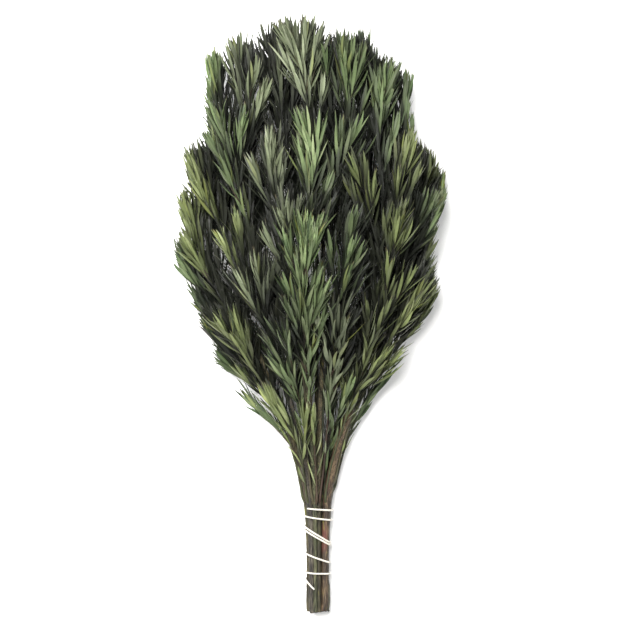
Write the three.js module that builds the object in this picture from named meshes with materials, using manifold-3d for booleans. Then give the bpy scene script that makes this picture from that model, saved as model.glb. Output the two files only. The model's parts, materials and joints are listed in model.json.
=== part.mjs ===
// Bunch of dried willow eucalyptus, lying on its side: cut woody stems held by a wound string, and the
// leafy sprigs that grow from them. Millimetres, +Z up. Y runs from the cut ends to the leaf tips.
// Every stem and twig is described by where its centre is at each distance y from the cut ends.
import * as THREE from 'three';
import { mergeVertices } from 'three/addons/utils/BufferGeometryUtils.js';
import Module from 'manifold-3d';

const wasm = await Module();
wasm.setup();

// ---- Driving dimensions -------------------------------------------------------------------------
const BUNCH_LENGTH = 595; // from the cut ends to the furthest leaf
const TIE_TOP = 106; // where the string's winding starts, from the cut ends
const FAN_START = 96; // the stems begin to spread here
const FAN_FULL = 350; // and have spread to the full fan here
const FAN_WIDTH = 112; // half width of the full fan, at the twigs
const FAN_HEIGHT = 118; // how far its top twigs lie above its lowest ones
const FAN_LIFT = 9; // and how far these lie above the surface, on their leaves
const FAN_ROUNDING = 0.7; // how much lower the fan's top is at its sides: 0 is flat, 1 is a half circle
const FAN_SIDE_SHARE = 0.1; // share of the height squared that its sides keep at least
const STEM_SPREAD = 0.95; // share of the fan's width that the stems spread to, before their twigs

const WAIST_AT = 42; // the string pulls the bundle tightest here
const WAIST = 0.92; // by this factor
const WAIST_MOST = 2.2; // the bundle widens back to its packed size and this far past it
const CROWDING = 9; // each sprig that a stem already has makes it this much less likely to get another

const PIECE_GAP = 0.3; // between any two pieces
const STEM_TIP_RADIUS = 1.2;
const STUB_LENGTH = 5; // a cut side twig low on one stem
const STUB_AT = 24;
const TWIG_RADIUS = 1.15;
const TWIG_TIP_RADIUS = 0.45;
const TWIG_STEPS = 6; // straight lengths that a bent twig is made of
const TWIG_REACH = 190; // usual length of a twig along y
const LOWEST_TWIG = 118; // no twig leaves a stem nearer to the cut ends than this
const ROOT_BELOW_END = 6; // or nearer than this to the stem's far end
const TWIG_EASE = 1.25; // above 1, twigs keep beside their stems for longer

const SHOOT_LENGTH = 44;
const SHOOT_RADIUS = 0.75;
const SHOOT_OPENING = 17; // degrees between a side shoot and its twig
const SHOOT_ROOTS = [0.5, 0.78]; // shares of the twig's leafy part between its end and its side shoots
const SHOOT_LEAVES = 3;
const SHOOTS_FROM = 75; // twigs with a shorter leafy part than this have no side shoots
const FAN_EDGE = 0.75; // past this share of the fan's width, both shoots head for its middle

const LEAF_LENGTH = 31;
const LEAF_WIDTH = 4.6;
const LEAF_THICKNESS = 1.1;
const LEAF_WIDEST = 0.42; // share of the length from the stalk to the widest place
const LEAF_SPACING = 12;
const STALK_ROOT = 2; // the last leaf's stalk starts this far inside the end of the twig
const LEAF_OPENING = 29; // degrees between a leaf and its twig
const TIP_LEAF_OPENING = 14; // and the same at the tip of the twig
const FULL_LEAFY = 95; // on twigs with a shorter leafy part the leaves open less
const LEAF_FLOOR = 0.5; // leaf tips stop this far above the surface

const STRING_RADIUS = 0.9;
const STRING_SLACK = 0.6; // between the string and the stems that it is wound round
const STRING_END_LIFT = 1.6; // the loose end stands this much off the stems

// ---- Stems: rough place in the bundle before they are drawn together, radius, how far short of the
// longest the cut end stops, bark -------------------------------------------------------------------
const STEMS = [
  { x: -8, z: 5, radius: 3.4, cut: 0.6, bark: 'bark_purple' },
  { x: -2, z: 9, radius: 2.1, cut: 2.2, bark: 'bark_olive' },
  { x: 2, z: 5, radius: 3.2, cut: 1.2, bark: 'bark_brown' },
  { x: 9, z: 4, radius: 3.7, cut: 2.6, bark: 'bark_red' },
  { x: -10, z: -2, radius: 2.8, cut: 1.6, bark: 'bark_brown' },
  { x: -3, z: 0, radius: 3.2, cut: 0, bark: 'bark_olive' },
  { x: 4, z: -1, radius: 3.0, cut: 1.1, bark: 'bark_purple' },
  { x: 10, z: -3, radius: 2.7, cut: 2.0, bark: 'bark_olive', stub: true },
  { x: -7, z: -8, radius: 3.0, cut: 1.4, bark: 'bark_olive' },
  { x: 0, z: -9, radius: 3.3, cut: 0.4, bark: 'bark_brown' },
  { x: 7, z: -9, radius: 2.6, cut: 1.8, bark: 'bark_red' },
];

// ---- Sprigs: where the last leaf of each ends (aside from -1 to 1 across the fan, short of the far end
// by some millimetres, level from 0 at the surface to 1 on top), the length of its leafy part, its tone --
const SPRIGS = [
  // the far ends, behind
  { aside: -0.87, short: 30, level: 0.45, leafy: 120, tone: 'leaf_green' },
  { aside: -0.6, short: 17, level: 0.55, leafy: 120, tone: 'leaf_silver' },
  { aside: -0.38, short: 1, level: 0.5, leafy: 120, tone: 'leaf_silver' },
  { aside: -0.16, short: 0, level: 0.6, leafy: 120, tone: 'leaf_silver' },
  { aside: -0.04, short: 16, level: 0.35, leafy: 110, tone: 'leaf_green' },
  { aside: 0.07, short: 24, level: 0.5, leafy: 110, tone: 'leaf_dark' },
  { aside: 0.23, short: 17, level: 0.55, leafy: 115, tone: 'leaf_green' },
  { aside: 0.38, short: 13, level: 0.4, leafy: 110, tone: 'leaf_green' },
  { aside: 0.53, short: 41, level: 0.5, leafy: 115, tone: 'leaf_green' },
  { aside: 0.78, short: 46, level: 0.45, leafy: 70, tone: 'leaf_dark' },
  // the two sides
  { aside: -1.05, short: 121, level: 0.5, leafy: 130, tone: 'leaf_olive' },
  { aside: -1.12, short: 167, level: 0.5, leafy: 120, tone: 'leaf_olive' },
  { aside: -1.11, short: 213, level: 0.4, leafy: 105, tone: 'leaf_dark' },
  { aside: -0.95, short: 259, level: 0.4, leafy: 90, tone: 'leaf_dark' },
  { aside: -0.72, short: 313, level: 0.4, leafy: 60, tone: 'leaf_dark' },
  { aside: -0.55, short: 355, level: 0.55, leafy: 36, tone: 'leaf_dark' },
  { aside: 0.71, short: 111, level: 0.6, leafy: 115, tone: 'leaf_olive' },
  { aside: 0.95, short: 125, level: 0.5, leafy: 120, tone: 'leaf_olive' },
  { aside: 1.03, short: 147, level: 0.35, leafy: 120, tone: 'leaf_green' },
  { aside: 0.93, short: 245, level: 0.4, leafy: 100, tone: 'leaf_olive' },
  { aside: 0.52, short: 337, level: 0.5, leafy: 56, tone: 'leaf_dark' },
  // the top, nearer and nearer to the tie
  { aside: -0.82, short: 83, level: 0.75, leafy: 120, tone: 'leaf_green' },
  { aside: -0.45, short: 111, level: 0.85, leafy: 120, tone: 'leaf_silver' },
  { aside: 0, short: 93, level: 0.85, leafy: 125, tone: 'leaf_green' },
  { aside: 0.2, short: 95, level: 0.75, leafy: 120, tone: 'leaf_green' },
  { aside: 0.41, short: 133, level: 0.85, leafy: 115, tone: 'leaf_olive' },
  { aside: -0.69, short: 183, level: 0.8, leafy: 115, tone: 'leaf_olive' },
  { aside: -0.26, short: 169, level: 0.9, leafy: 110, tone: 'leaf_silver' },
  { aside: -0.11, short: 191, level: 1, leafy: 110, tone: 'leaf_green' },
  { aside: 0.25, short: 188, level: 0.95, leafy: 120, tone: 'leaf_green' },
  { aside: 0.62, short: 180, level: 0.85, leafy: 120, tone: 'leaf_olive' },
  { aside: 0.87, short: 168, level: 0.7, leafy: 120, tone: 'leaf_green' },
  { aside: -0.49, short: 229, level: 0.9, leafy: 100, tone: 'leaf_silver' },
  { aside: -0.16, short: 230, level: 1, leafy: 105, tone: 'leaf_green' },
  { aside: 0.83, short: 238, level: 0.75, leafy: 110, tone: 'leaf_olive' },
  { aside: 0.13, short: 268, level: 0.95, leafy: 95, tone: 'leaf_silver' },
  { aside: 0.56, short: 268, level: 0.9, leafy: 100, tone: 'leaf_olive' },
  { aside: -0.78, short: 273, level: 0.8, leafy: 110, tone: 'leaf_olive' },
  { aside: -0.27, short: 288, level: 1, leafy: 100, tone: 'leaf_green' },
  { aside: 0.24, short: 343, level: 1, leafy: 80, tone: 'leaf_green' },
  { aside: -0.34, short: 351, level: 0.9, leafy: 80, tone: 'leaf_olive' },
  { aside: -0.02, short: 373, level: 1, leafy: 66, tone: 'leaf_olive' },
  // the underside
  { aside: -0.7, short: 75, level: 0.05, leafy: 125, tone: 'leaf_green' },
  { aside: -0.89, short: 155, level: 0.05, leafy: 120, tone: 'leaf_dark' },
  { aside: -0.27, short: 50, level: 0.05, leafy: 125, tone: 'leaf_dark' },
  { aside: 0.18, short: 75, level: 0.05, leafy: 125, tone: 'leaf_green' },
  { aside: 0.59, short: 90, level: 0.08, leafy: 125, tone: 'leaf_dark' },
  { aside: 0.82, short: 195, level: 0.05, leafy: 120, tone: 'leaf_olive' },
];

// ---- String: how far below the top of its winding it passes the bundle's right side, then its left,
// and so on round and round, with the lengths of its first and last part turns in degrees -------------
const STRING_PASSES = [2, 8, 12, 18.6, 35, 22, 37.4, 45.6, 55, 65, 66, 71.5];
const STRING_FIRST_TURN = 130;
const STRING_LAST_TURN = 75;
const STRING_LENGTHWISE = 81;

const COLOURS = {
  bark_purple: 0x6f6166,
  bark_olive: 0x6e6b4c,
  bark_brown: 0x7a6a58,
  bark_red: 0x8a6353,
  leaf_silver: 0x8b9388,
  leaf_green: 0x5f7558,
  leaf_olive: 0x7f8a52,
  leaf_dark: 0x3c4d3c,
  tie_cream: 0xf1ece0,
};

// ---- Helpers --------------------------------------------------------------------------------------
const { clamp, degToRad, lerp, smoothstep } = THREE.MathUtils;

// A repeatable draw between two values.
let seed = 11;
function random(low, high) {
  seed = (seed * 16807) % 2147483647;
  return lerp(low, high, seed / 2147483647);
}

function toSolid(geometry) {
  geometry.deleteAttribute('normal');
  geometry.deleteAttribute('uv');
  const merged = mergeVertices(geometry);
  return new wasm.Manifold(new wasm.Mesh({
    numProp: 3,
    vertProperties: new Float32Array(merged.attributes.position.array),
    triVerts: new Uint32Array(merged.index.array),
  }));
}

function toGeometry(solid) {
  const mesh = solid.getMesh();
  const geometry = new THREE.BufferGeometry();
  geometry.setAttribute('position', new THREE.BufferAttribute(mesh.vertProperties, 3));
  geometry.setIndex(new THREE.BufferAttribute(mesh.triVerts, 1));
  geometry.computeVertexNormals();
  return geometry;
}

// Moves each vertex of a geometry to where move(vertex) puts it.
function reshape(geometry, move) {
  const positions = geometry.attributes.position;
  for (let i = 0; i < positions.count; i += 1) {
    const moved = move(new THREE.Vector3().fromBufferAttribute(positions, i));
    positions.setXYZ(i, moved.x, moved.y, moved.z);
  }
  return geometry;
}

// The direction of a line at t, for t from 0 to 1.
function directionOf(pointAt, t, step) {
  return pointAt(Math.min(t + step, 1)).sub(pointAt(Math.max(t - step, 0))).normalize();
}

// The part of a vector that is square to a direction, at unit length.
function squareTo(direction, vector) {
  return vector.clone().addScaledVector(direction, -vector.dot(direction)).normalize();
}

// A closed round bar: a cylinder bent so that its centre is pointAt(t) and its radius radiusAt(t).
function bentBar(pointAt, radiusAt, sides, steps, reference) {
  return toSolid(reshape(new THREE.CylinderGeometry(1, 1, 1, sides, steps), (vertex) => {
    const t = vertex.y + 0.5;
    const tangent = directionOf(pointAt, t, 0.004);
    const across = squareTo(tangent, reference);
    const up = new THREE.Vector3().crossVectors(across, tangent);
    return pointAt(t)
      .addScaledVector(across, vertex.x * radiusAt(t))
      .addScaledVector(up, vertex.z * radiusAt(t));
  }));
}

// ---- The bundle -----------------------------------------------------------------------------------
// Draws the stems together and pushes overlapping ones apart until they lie side by side.
function packBundle() {
  const gap = PIECE_GAP / WAIST;
  const rounds = 600;
  for (let round = 0; round < rounds; round += 1) {
    const keep = round < rounds / 2 ? 0.996 : 1;
    for (const stem of STEMS) {
      stem.x *= keep;
      stem.z *= keep;
    }
    for (const [index, a] of STEMS.entries()) {
      for (const b of STEMS.slice(index + 1)) {
        const distance = Math.hypot(b.x - a.x, b.z - a.z);
        const push = Math.max(a.radius + b.radius + gap - distance, 0) / 2 / distance;
        const [dx, dz] = [(b.x - a.x) * push, (b.z - a.z) * push];
        a.x -= dx;
        a.z -= dz;
        b.x += dx;
        b.z += dz;
      }
    }
  }
}

packBundle();
const bundleRadius = Math.max(...STEMS.map((stem) => Math.hypot(stem.x, stem.z) + stem.radius));

// The bundle narrows towards its waist and widens again on both sides of it.
function bundleScale(y) {
  return WAIST + (1 - WAIST) * Math.min((y / WAIST_AT - 1) ** 2, WAIST_MOST);
}

// The string's lowest turn touches the surface, and the bundle lies in it.
const bundleDepth = bundleScale(TIE_TOP) * Math.max(...STEMS.map((stem) => stem.radius - stem.z));
const bundleLift = bundleDepth + STRING_SLACK + 2 * STRING_RADIUS;

// How far the bunch has spread at y: 0 in the bundle, 1 in the full fan.
function spread(y) {
  return smoothstep(y, FAN_START, FAN_FULL);
}

// Where a line runs in the full fan, as x and z: aside is -1 to 1 across it, level 0 to 1 up it.
function fanPlace(aside, level) {
  const dome = Math.sqrt(Math.max(1 - FAN_ROUNDING * aside * aside, FAN_SIDE_SHARE));
  return new THREE.Vector2(aside * FAN_WIDTH, FAN_LIFT + level * FAN_HEIGHT * dome);
}

// The stems keep their order: those on one side of the bundle go to that side of the fan.
for (const stem of STEMS) {
  stem.fan = fanPlace((STEM_SPREAD * stem.x) / bundleRadius, 0.5 + (0.5 * stem.z) / bundleRadius);
  stem.placeAt = (y) => {
    const tied = new THREE.Vector2(stem.x, stem.z).multiplyScalar(bundleScale(y));
    tied.y += bundleLift;
    return tied.lerp(stem.fan, spread(y));
  };
}

// ---- Which stem each sprig grows from: one that points its way and isn't crowded yet ----------------
for (const stem of STEMS) {
  stem.sprigs = [];
}
for (const sprig of SPRIGS) {
  sprig.twigTip = BUNCH_LENGTH - sprig.short - LEAF_LENGTH;
  sprig.fan = fanPlace(sprig.aside / spread(sprig.twigTip), sprig.level);
  const cost = (stem) => stem.fan.distanceTo(sprig.fan) + CROWDING * stem.sprigs.length;
  sprig.stem = STEMS.reduce((best, stem) => (cost(stem) < cost(best) ? stem : best));
  sprig.stem.sprigs.push(sprig);
}

// A stem ends inside the foliage, where its longest sprig carries on from it.
for (const stem of STEMS) {
  stem.leader = stem.sprigs.reduce((best, sprig) => (sprig.twigTip > best.twigTip ? sprig : best));
  stem.end = Math.max(stem.leader.twigTip - TWIG_REACH, LOWEST_TWIG + TWIG_REACH / 10);
  stem.radiusAt = (y) => {
    const grown = smoothstep(y, FAN_START, stem.end);
    return lerp(stem.radius * bundleScale(y), STEM_TIP_RADIUS, grown);
  };
}

// ---- Shapes of the pieces --------------------------------------------------------------------------
const ACROSS = new THREE.Vector3(1, 0, 0);

function stemSolid(stem) {
  const yAt = (t) => lerp(stem.cut, stem.end, t);
  const pointAt = (t) => {
    const place = stem.placeAt(yAt(t));
    return new THREE.Vector3(place.x, yAt(t), place.y);
  };
  const bar = bentBar(pointAt, (t) => stem.radiusAt(yAt(t)), 8, 12, ACROSS);
  if (!stem.stub) {
    return bar;
  }
  const place = stem.placeAt(STUB_AT);
  const stub = new THREE.ConeGeometry(STUB_LENGTH / 4, STUB_LENGTH, 5);
  stub.rotateZ(degToRad(-60));
  stub.translate(place.x + stem.radius * 0.75, STUB_AT, place.y);
  return bar.add(toSolid(stub));
}

// A twig runs beside its stem until its own way through the fan leads off. A course says how its root
// is shifted along the stem and turned round it, and how far the twig swings sideways. The line is
// straight between its bends, so that leaves start inside the twig.
function twigLine(sprig, { shift, turn, swing }) {
  const { stem } = sprig;
  const leads = stem.leader === sprig;
  const highest = stem.end - ROOT_BELOW_END;
  const usual = clamp(sprig.twigTip - TWIG_REACH, LOWEST_TWIG, highest);
  const root = leads ? stem.end + 2 * PIECE_GAP : clamp(usual + shift, LOWEST_TWIG, highest);
  const away = sprig.fan.clone().sub(stem.fan);
  const apart = away.length();
  away.normalize();
  const sideways = new THREE.Vector2(-away.y, away.x);
  const courseAt = (t) => {
    const y = lerp(root, sprig.twigTip, t);
    const led = t ** TWIG_EASE;
    const beside = leads ? 0 : stem.radiusAt(Math.min(y, stem.end)) + TWIG_RADIUS + PIECE_GAP + 0.1;
    const place = away.clone()
      .rotateAround(new THREE.Vector2(), turn * (1 - led))
      .multiplyScalar(Math.max(beside, apart * spread(y) * led))
      .addScaledVector(sideways, swing * 4 * t * (1 - t))
      .add(stem.placeAt(y));
    return new THREE.Vector3(place.x, y, place.y);
  };
  const bends = Array.from({ length: TWIG_STEPS + 1 }, (_, k) => courseAt(k / TWIG_STEPS));
  const pointAt = (t) => {
    const k = clamp(Math.floor(t * TWIG_STEPS), 0, TWIG_STEPS - 1);
    return bends[k].clone().lerp(bends[k + 1], t * TWIG_STEPS - k);
  };
  return { length: sprig.twigTip - root, pointAt };
}

function twigSolid(line) {
  const bar = bentBar(line.pointAt, (t) => lerp(TWIG_RADIUS, TWIG_TIP_RADIUS, t), 4, TWIG_STEPS, ACROSS);
  return bar.add(endLeaf(line));
}

// A direction that is no steeper downwards than a line of this length from here to the surface.
function keptAbove(from, direction, length) {
  const steepest = (LEAF_FLOOR - from.z) / length;
  if (direction.z < steepest) {
    const level = Math.sqrt(1 - steepest ** 2) / Math.hypot(direction.x, direction.y);
    direction.set(direction.x * level, direction.y * level, steepest);
  }
  return direction;
}

// A side shoot grows straight from its twig's centre, one to the left and one to the right, and at the
// edge of the fan both towards its middle.
function shootLine(sprig, index, { size, turn }) {
  const t = 1 - (SHOOT_ROOTS[index] * sprig.leafy) / sprig.line.length;
  const from = sprig.line.pointAt(t);
  const axis = directionOf(sprig.line.pointAt, t, 0.03);
  const leftward = Math.abs(sprig.aside) > FAN_EDGE ? sprig.aside > 0 : index === 0;
  const outward = squareTo(axis, ACROSS).applyAxisAngle(axis, degToRad(turn + (leftward ? 180 : 0)));
  const open = degToRad(SHOOT_OPENING);
  const direction = axis.multiplyScalar(Math.cos(open)).addScaledVector(outward, Math.sin(open));
  const length = SHOOT_LENGTH * size;
  keptAbove(from, direction, length + LEAF_LENGTH);
  return { length, pointAt: (share) => from.clone().addScaledVector(direction, share * length) };
}

function shootSolid(line) {
  const bar = bentBar(line.pointAt, (t) => lerp(SHOOT_RADIUS, TWIG_TIP_RADIUS, t), 3, 1, ACROSS);
  return bar.add(endLeaf(line));
}

// One leaf: a lance shape with a raised midrib, from its stalk inside the twig out to its tip. It is a
// three-sided cone whose base is the widest place and whose base centre is drawn out to the stalk.
function leafSolid(from, direction, across, length) {
  const outward = new THREE.Vector3().crossVectors(across, direction);
  return toSolid(reshape(new THREE.ConeGeometry(1, 1, 3), (vertex) => {
    const onRim = Math.hypot(vertex.x, vertex.z) > 0.5;
    const along = onRim ? LEAF_WIDEST : vertex.y + 0.5;
    return from.clone()
      .addScaledVector(direction, along * length)
      .addScaledVector(across, (vertex.x * LEAF_WIDTH) / Math.sqrt(3))
      .addScaledVector(outward, (vertex.z * LEAF_THICKNESS) / 1.5);
  }));
}

// The last leaf of a twig or a shoot carries straight on from it.
function endLeaf(line) {
  const t = 1 - STALK_ROOT / line.length;
  const direction = directionOf(line.pointAt, t, 0.03);
  return leafSolid(line.pointAt(t), direction, squareTo(direction, ACROSS), LEAF_LENGTH);
}

// A twig or a shoot with count leaves on the last part of it, the sizes of these, and how far they open.
function branch(line, leafy, count, opening) {
  const leafGap = Math.min(leafy, line.length * 0.85) / (count - 1);
  const leafSizes = Array.from({ length: count }, () => random(0.82, 1.15));
  return { line, leafGap, leafSizes, opening };
}

// Leaf number index of a branch, counted from its last leaf, sized, slid along, folded and turned as the
// pose says. Leaves follow each other round the branch by the golden angle, and none reaches below the
// surface.
function leafAt({ line, leafGap, leafSizes, opening }, index, { size, slide, fold, turn }) {
  const t = 1 - (STALK_ROOT + (index + slide) * leafGap) / line.length;
  const from = line.pointAt(t);
  const axis = directionOf(line.pointAt, t, 0.03);
  const outward = squareTo(axis, ACROSS).applyAxisAngle(axis, degToRad(index * 137.5 + turn));
  const open = degToRad(lerp(TIP_LEAF_OPENING, opening, Math.min(index / 6, 1)) * fold);
  const direction = axis.clone().multiplyScalar(Math.cos(open)).addScaledVector(outward, Math.sin(open));
  const length = LEAF_LENGTH * leafSizes[index] * size;
  keptAbove(from, direction, length);
  return leafSolid(from, direction, squareTo(direction, outward.cross(axis)), length);
}

// The string's place on the outline of the bundle, where the outline faces the given angle: it passes
// round the stem that reaches out furthest that way.
function stringPlace(angle, y, lift) {
  const normal = new THREE.Vector2(Math.cos(angle), Math.sin(angle));
  const reach = (stem) => stem.placeAt(y).dot(normal) + stem.radiusAt(y);
  const outermost = STEMS.reduce((best, stem) => (reach(stem) > reach(best) ? stem : best));
  const off = outermost.radiusAt(y) + STRING_SLACK + STRING_RADIUS + lift;
  return outermost.placeAt(y).addScaledVector(normal, off);
}

// The string crosses the bundle in straight slants, from one side's height to the next side's.
function stringSolid() {
  const whole = STRING_FIRST_TURN + 180 * (STRING_PASSES.length - 1) + STRING_LAST_TURN;
  const heights = [0, ...STRING_PASSES, STRING_LENGTHWISE].map((down) => TIE_TOP - down);
  const turns = [0, ...STRING_PASSES.map((_, k) => STRING_FIRST_TURN + 180 * k), whole];
  const angleAt = (turned) => degToRad(STRING_FIRST_TURN - turned);
  const pointAt = (t) => {
    const turned = t * whole;
    const next = clamp(turns.findIndex((turn) => turn >= turned), 1, turns.length - 1);
    const xAt = (turn) => stringPlace(angleAt(turn), heights[next], 0).x;
    const [start, end] = [xAt(turns[next - 1]), xAt(turns[next])];
    const crossed = clamp((xAt(turned) - start) / (end - start), 0, 1);
    const y = lerp(heights[next - 1], heights[next], crossed);
    const lift = STRING_END_LIFT * smoothstep(turned, whole - STRING_LAST_TURN, whole);
    const place = stringPlace(angleAt(turned), y, lift);
    return new THREE.Vector3(place.x, y, place.y);
  };
  const degreesPerStep = 15;
  const steps = Math.round(whole / degreesPerStep);
  return bentBar(pointAt, () => STRING_RADIUS, 6, steps, new THREE.Vector3(0, 1, 0));
}

// ---- Putting the bunch together, each piece clear of the ones already in place ------------------------
const inPlace = [];

function isClear(solid, owner) {
  const box = solid.boundingBox();
  const isNear = (other) => [0, 1, 2].every((axis) => box.min[axis] - PIECE_GAP < other.box.max[axis]
    && box.max[axis] + PIECE_GAP > other.box.min[axis]);
  return !inPlace.some((other) => other.owner !== owner && isNear(other)
    && other.solid.minGap(solid, PIECE_GAP) < PIECE_GAP);
}

// Puts in place the first of several ways of making a piece that is clear of all other owners' pieces.
function placeFirstClear(ways, make, owner) {
  const way = ways.find((each) => isClear(make(each), owner)) ?? ways.at(-1);
  const solid = make(way);
  inPlace.push({ solid, owner, box: solid.boundingBox() });
  return { way, solid };
}

// All combinations of the values of several named choices, the first choice changing slowest.
function combine(choices) {
  return Object.entries(choices).reduce(
    (ways, [name, values]) => ways.flatMap((way) => values.map((value) => ({ ...way, [name]: value }))),
    [{}],
  );
}

const COURSES = combine({
  shift: [0, 9, -9, 18, -18, 27, -27, 36, -36, 45, -45, 60, -60, 75, -75],
  swing: [0, 6, -6, 12, -12, 18, -18],
  turn: [0, 40, -40, 80, -80, 120, -120].map(degToRad),
});
const SHOOT_COURSES = combine({
  size: [1, 0.85, 0.7, 0.5],
  turn: [0, -20, 20, -40, 40, -60, 60, -80, 80, -100, 100],
});
const LEAF_POSES = combine({
  size: [1, 0.8, 0.6],
  slide: [0, 0.35, -0.35],
  fold: [1, 0.7, 0.4, 0.1],
  turn: [0, 30, -30, 60, -60, 90, -90, 120, -120, 150, -150, 180],
});

for (const stem of STEMS) {
  stem.solid = placeFirstClear([stem], stemSolid, stem).solid;
}
const string = placeFirstClear([null], stringSolid, 'string').solid;
for (const sprig of SPRIGS) {
  const { way, solid } = placeFirstClear(COURSES, (course) => twigSolid(twigLine(sprig, course)), sprig);
  sprig.line = twigLine(sprig, way);
  sprig.pieces = [solid];
}
for (const sprig of SPRIGS) {
  const count = Math.round(sprig.leafy / LEAF_SPACING) + 1;
  const opening = LEAF_OPENING * Math.min(sprig.leafy / FULL_LEAFY, 1);
  sprig.branches = [branch(sprig.line, sprig.leafy, count, opening)];
  for (const index of sprig.leafy < SHOOTS_FROM ? [] : SHOOT_ROOTS.keys()) {
    const make = (course) => shootSolid(shootLine(sprig, index, course));
    const { way, solid } = placeFirstClear(SHOOT_COURSES, make, sprig);
    sprig.pieces.push(solid);
    const line = shootLine(sprig, index, way);
    sprig.branches.push(branch(line, line.length, SHOOT_LEAVES, LEAF_OPENING));
  }
}
for (const sprig of SPRIGS) {
  for (const leafed of sprig.branches) {
    for (let index = 1; index < leafed.leafSizes.length; index += 1) {
      const make = (pose) => leafAt(leafed, index, pose);
      sprig.pieces.push(placeFirstClear(LEAF_POSES, make, sprig).solid);
    }
  }
}

// ---- The bunch, with its origin on the surface under its middle -----------------------------------------
const bunch = new THREE.Group();

function addPiece(name, solid, slot) {
  const material = new THREE.MeshStandardMaterial({ color: COLOURS[slot], roughness: 0.7, metalness: 0 });
  const mesh = new THREE.Mesh(toGeometry(solid), material);
  mesh.name = name;
  bunch.add(mesh);
}

function numbered(name, index) {
  return `${name}_${String(index + 1).padStart(2, '0')}`;
}

STEMS.forEach((stem, index) => addPiece(numbered('cut_stem', index), stem.solid, stem.bark));
SPRIGS.forEach((sprig, index) => {
  addPiece(numbered('leafy_sprig', index), wasm.Manifold.union(sprig.pieces), sprig.tone);
});
addPiece('string_tie', string, 'tie_cream');

const box = new THREE.Box3().setFromObject(bunch);
const middle = box.getCenter(new THREE.Vector3());
bunch.position.set(-middle.x, -middle.y, -box.min.z);

export default bunch;
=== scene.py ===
"""Looks of a tied bunch of dried willow eucalyptus that lies on its side.

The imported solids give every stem, twig, leaf and turn of string its place. Each solid is replaced by a
finished piece that follows it: barky stems with cut ends, twigs full of thin curved leaves, and a
twisted cotton string. Metres, Y along the bunch from the cut ends to the leaf tips, Z up.
"""

import json
import math

import bpy
import numpy as np
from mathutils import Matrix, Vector


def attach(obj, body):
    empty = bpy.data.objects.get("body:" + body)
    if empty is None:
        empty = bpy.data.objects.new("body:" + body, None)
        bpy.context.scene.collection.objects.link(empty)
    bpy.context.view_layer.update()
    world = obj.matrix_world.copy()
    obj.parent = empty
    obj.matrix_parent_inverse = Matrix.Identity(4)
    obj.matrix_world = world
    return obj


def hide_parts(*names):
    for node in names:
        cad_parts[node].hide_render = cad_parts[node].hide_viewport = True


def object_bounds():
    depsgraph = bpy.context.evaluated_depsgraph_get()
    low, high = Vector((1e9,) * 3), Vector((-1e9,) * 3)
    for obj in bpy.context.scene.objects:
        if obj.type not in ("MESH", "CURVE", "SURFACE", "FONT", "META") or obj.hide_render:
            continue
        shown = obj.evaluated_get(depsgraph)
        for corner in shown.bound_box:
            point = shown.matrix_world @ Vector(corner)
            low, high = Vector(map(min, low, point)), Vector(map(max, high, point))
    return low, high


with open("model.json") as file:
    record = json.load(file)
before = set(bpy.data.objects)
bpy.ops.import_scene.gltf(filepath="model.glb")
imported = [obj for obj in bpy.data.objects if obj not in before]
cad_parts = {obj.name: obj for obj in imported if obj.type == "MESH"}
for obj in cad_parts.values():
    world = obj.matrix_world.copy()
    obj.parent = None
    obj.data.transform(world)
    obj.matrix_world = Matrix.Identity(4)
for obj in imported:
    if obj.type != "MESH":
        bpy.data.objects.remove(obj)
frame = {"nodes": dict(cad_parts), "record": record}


def box_as_lists():
    return [[float(value) for value in corner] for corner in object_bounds()]


CAD_BOX = box_as_lists()
SLOT_OF = {part["node"]: part["material_slot"] for part in frame["record"]["subparts"]}
STEM_NODES = sorted(name for name in frame["nodes"] if name.startswith("cut_stem"))
SPRIG_NODES = sorted(name for name in frame["nodes"] if name.startswith("leafy_sprig"))
MM = 0.001

# ---- Sizes ----
PHOTO_SIDE = 0.62  # the frame is this wide at the height of the foliage
CAMERA_HEIGHT = 2.6
CAMERA_ASIDE = 0.0055  # the bunch stands this much left of the frame's middle
CAMERA_UP = 0.0045
FOLIAGE_HEIGHT = 0.08
FLOOR_HALF = 3.0
FLOOR_HEIGHT = -0.2 * MM  # just clear of the lowest solids

LEAF_WIDTH = (2.3 * MM, 3.8 * MM)
LEAF_LENGTH = (25 * MM, 43 * MM)
LEAF_SPACING = 2.5 * MM
OPENING = (4, 1.9, 23)  # degrees from the branch: of its end leaf, more for each next one, at most
OPENING_SCATTER = 6
SHOOT_OPENING = (15, 34)
SPARSE_OPENING = (10, 24)
UPRIGHT = 0.26  # how far leaves turn from their own way towards the tips of the bunch
TUFT_LEAVES = 8  # the last leaves of a branch stand close together
TUFT_SPACING = 0.8 * MM
SPARSE_SPACING = 9 * MM  # below the leafy part of a twig
LEAF_THICKNESS = 0.32 * MM
# half outline of a leaf: share of its length, share of its width
LEAF_OUTLINE = ((0, 0.15), (0.1, 0.32), (0.24, 0.72), (0.4, 0.97), (0.57, 1), (0.75, 0.78),
                (0.9, 0.4), (1, 0.03))
LEAF_FLOOR = 0.4 * MM
LEAF_COLUMNS = 40  # of the bake map
MOOD = (0.34, 0.62)  # how fresh a sprig's leaves look, from 0 to 1
TWIG_RADIUS = (1.1 * MM, 0.4 * MM)
TWIG_STEP = 2.5 * MM
TWIG_SIDES = 8
ON_TWIG = 2.3 * MM  # a solid's leaf whose base is nearer than this to the twig grows from it
SHOOT_RADIUS = (0.8 * MM, 0.35 * MM)
SHOOT_STEP = 3 * MM
SHOOT_STALK = 5 * MM  # without leaves
SHORT_SHOOT = (18 * MM, 40 * MM)
SHORT_SHOOT_SPACING = 9.5 * MM  # of the leafy part of a twig, for each short side shoot
SHORT_SHOOTS_FROM = 60 * MM  # twigs with a shorter leafy part than this have none
SHOOT_WAYS = 14  # places tried for each
STRAY = (1 * MM, 9 * MM)  # how far leaves reach beyond the outline of the solids
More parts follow.
